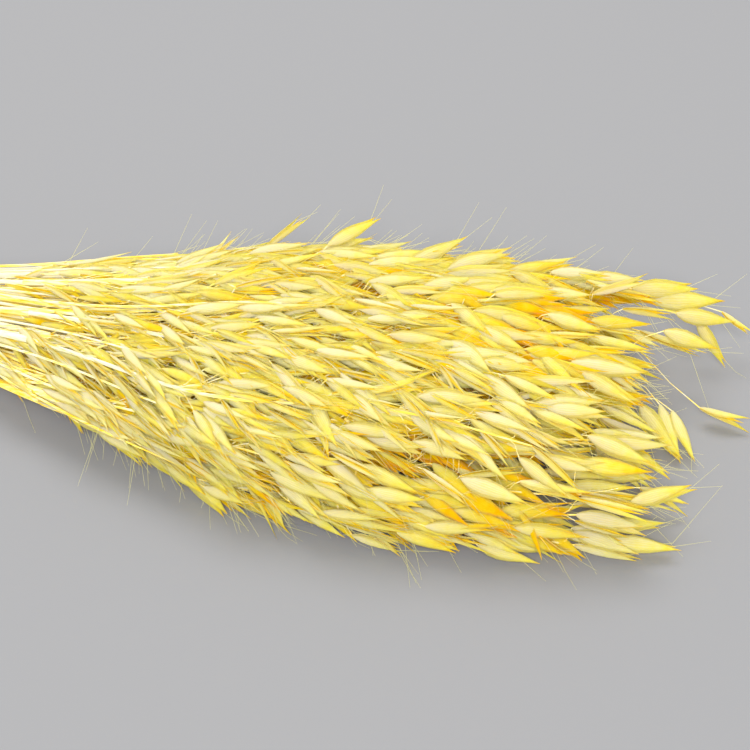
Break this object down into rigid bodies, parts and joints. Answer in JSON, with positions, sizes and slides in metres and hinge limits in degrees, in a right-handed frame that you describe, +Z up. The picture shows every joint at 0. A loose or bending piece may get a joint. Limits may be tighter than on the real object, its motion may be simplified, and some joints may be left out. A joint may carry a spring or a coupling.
{
  "type": "bunch of dried oats",
  "caption": "Tied bunch of dyed dried oat stalks with long papery spikelets, lying on its side, for decoration and vases.",
  "frame": {"origin": "on the surface that the bunch lies on, under the middle of its bounding box", "axes": "+X along the stalks towards the heads, +Z up from the surface, +Y across the bunch"},
  "size_m": [0.5702, 0.198, 0.0704],
  "materials": {
    "dyed_oat": "matt dried straw and papery husks, dyed yellow",
    "twine": "undyed twisted plant-fibre twine"
  },
  "bodies": {
    "root": {"oat_stalk_01": "dyed_oat", "oat_stalk_02": "dyed_oat", "oat_stalk_03": "dyed_oat", "oat_stalk_04": "dyed_oat", "oat_stalk_05": "dyed_oat", "oat_stalk_06": "dyed_oat", "oat_stalk_07": "dyed_oat", "oat_stalk_08": "dyed_oat", "oat_stalk_09": "dyed_oat", "oat_stalk_10": "dyed_oat", "oat_stalk_11": "dyed_oat", "oat_stalk_12": "dyed_oat", "oat_stalk_13": "dyed_oat", "oat_stalk_14": "dyed_oat", "oat_stalk_15": "dyed_oat", "oat_stalk_16": "dyed_oat", "oat_stalk_17": "dyed_oat", "oat_stalk_18": "dyed_oat", "oat_stalk_19": "dyed_oat", "oat_stalk_20": "dyed_oat", "oat_stalk_21": "dyed_oat", "oat_stalk_22": "dyed_oat", "oat_stalk_23": "dyed_oat", "oat_stalk_24": "dyed_oat", "oat_stalk_25": "dyed_oat", "oat_stalk_26": "dyed_oat", "oat_stalk_27": "dyed_oat", "oat_stalk_28": "dyed_oat", "oat_stalk_29": "dyed_oat", "oat_stalk_30": "dyed_oat", "oat_stalk_31": "dyed_oat", "oat_stalk_32": "dyed_oat", "oat_stalk_33": "dyed_oat", "oat_stalk_34": "dyed_oat", "oat_stalk_35": "dyed_oat", "oat_stalk_36": "dyed_oat", "tie": "twine"}
  },
  "joints": []
}
